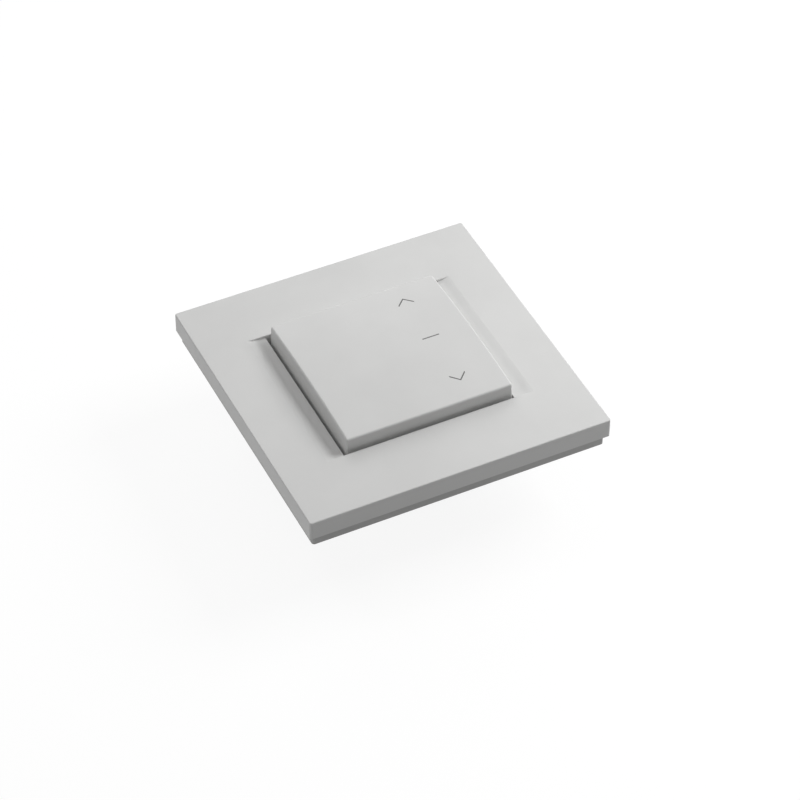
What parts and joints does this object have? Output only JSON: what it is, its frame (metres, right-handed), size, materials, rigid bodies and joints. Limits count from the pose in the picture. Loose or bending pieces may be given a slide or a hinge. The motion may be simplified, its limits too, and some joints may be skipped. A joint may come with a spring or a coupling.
{
  "type": "blind push button switch",
  "caption": "Flush-mounted blind push button with a square cover frame, a crowned rocking key marked up, stop and down, and a screwless switching insert behind it.",
  "frame": {"origin": "middle of the wall plane, midway between the box screws", "axes": "+X right on the wall, +Y up the wall (the up sign's side), +Z out of the wall"},
  "size_m": [0.095, 0.095, 0.0379],
  "materials": {
    "frame_plastic": "light grey satin moulded plastic",
    "carrier_plastic": "light grey satin moulded plastic",
    "key_plastic": "light grey satin moulded plastic",
    "cradle_plastic": "natural white moulded plastic",
    "insert_plastic": "dark grey moulded plastic",
    "plunger_plastic": "natural white moulded plastic",
    "lever_plastic": "orange moulded plastic",
    "ring_steel": "zinc-plated sheet steel",
    "axle_steel": "bright steel",
    "spring_steel": "stainless spring steel",
    "brass": "plain brass",
    "contact_silver": "silver-plated contact metal"
  },
  "bodies": {
    "insert": {"cover_frame": "frame_plastic", "carrier_frame": "carrier_plastic", "support_ring": "ring_steel", "insert_housing": "insert_plastic", "insert_cover": "insert_plastic", "rocker_axle": "axle_steel", "up_return_spring": "spring_steel", "down_return_spring": "spring_steel", "common_busbar": "brass", "up_terminal": "brass", "down_terminal": "brass", "fixed_contacts": "contact_silver", "left_clamp_springs": "spring_steel", "right_clamp_springs": "spring_steel"},
    "rocker": {"key": "key_plastic", "rocker_cradle": "cradle_plastic"},
    "up_slider": {"up_plunger": "plunger_plastic", "up_contact_bridge": "contact_silver"},
    "down_slider": {"down_plunger": "plunger_plastic", "down_contact_bridge": "contact_silver"},
    "left_release": {"left_release_lever": "lever_plastic"},
    "right_release": {"right_release_lever": "lever_plastic"},
    "upper_claw_set": {"upper_claw": "ring_steel", "upper_claw_screw": "axle_steel"},
    "lower_claw_set": {"lower_claw": "ring_steel", "lower_claw_screw": "axle_steel"}
  },
  "joints": [
    {"name": "rocker_tilt", "type": "hinge", "parent": "insert", "child": "rocker", "pos_m": [0, 0, 0.0059], "axis": [1, 0, 0], "range_deg": [-4, 4], "stiffness_Nm_per_rad": 1.1},
    {"name": "up_plunger_slide", "type": "slide", "parent": "insert", "child": "up_slider", "axis": [0, 0, 1], "range_m": [-0.0009, 0.0009], "deforming": ["up_return_spring"]},
    {"name": "down_plunger_slide", "type": "slide", "parent": "insert", "child": "down_slider", "axis": [0, 0, 1], "range_m": [-0.0009, 0.0009], "deforming": ["down_return_spring"]},
    {"name": "left_release_press", "type": "slide", "parent": "insert", "child": "left_release", "axis": [0, 0, 1], "range_m": [0, 0.0015], "stiffness_N_per_m": 1500, "deforming": ["left_clamp_springs"]},
    {"name": "right_release_press", "type": "slide", "parent": "insert", "child": "right_release", "axis": [0, 0, 1], "range_m": [0, 0.0015], "stiffness_N_per_m": 1500, "deforming": ["right_clamp_springs"]},
    {"name": "upper_claw_spread", "type": "hinge", "parent": "insert", "child": "upper_claw_set", "pos_m": [0, 0.025, 0.0005], "axis": [1, 0, 0], "range_deg": [0, 10]},
    {"name": "lower_claw_spread", "type": "hinge", "parent": "insert", "child": "lower_claw_set", "pos_m": [0, -0.025, 0.0005], "axis": [-1, 0, 0], "range_deg": [0, 10]}
  ],
  "couplings": [
    {"joint": "up_plunger_slide", "follows": "rocker_tilt", "m_per_rad": 0.012},
    {"joint": "down_plunger_slide", "follows": "rocker_tilt", "m_per_rad": -0.012}
  ]
}
